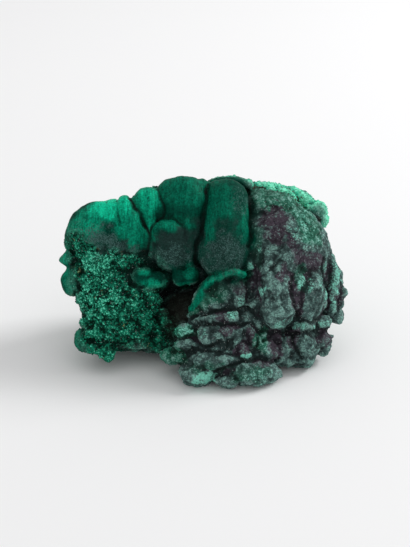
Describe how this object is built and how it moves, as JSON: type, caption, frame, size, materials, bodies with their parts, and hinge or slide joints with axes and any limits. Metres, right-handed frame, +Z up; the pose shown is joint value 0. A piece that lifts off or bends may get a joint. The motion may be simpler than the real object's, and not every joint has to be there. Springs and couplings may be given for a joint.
{
  "type": "malachite specimen",
  "caption": "Rugged malachite mineral specimen: satin green lobes over a rough broken face, a dark hollow, brain-like folds and a dusky velvet dome, standing on its own base.",
  "frame": {"origin": "centre of the bounding box at the level the stone rests on", "axes": "+Z up, +X to the right along the stone's length as its show face is seen, -Y out of the show face"},
  "size_m": [0.1103, 0.0696, 0.0681],
  "materials": {
    "malachite": "satin and velvet fibrous crusts with rough broken ground"
  },
  "bodies": {
    "root": {"malachite_specimen": "malachite"}
  },
  "joints": []
}
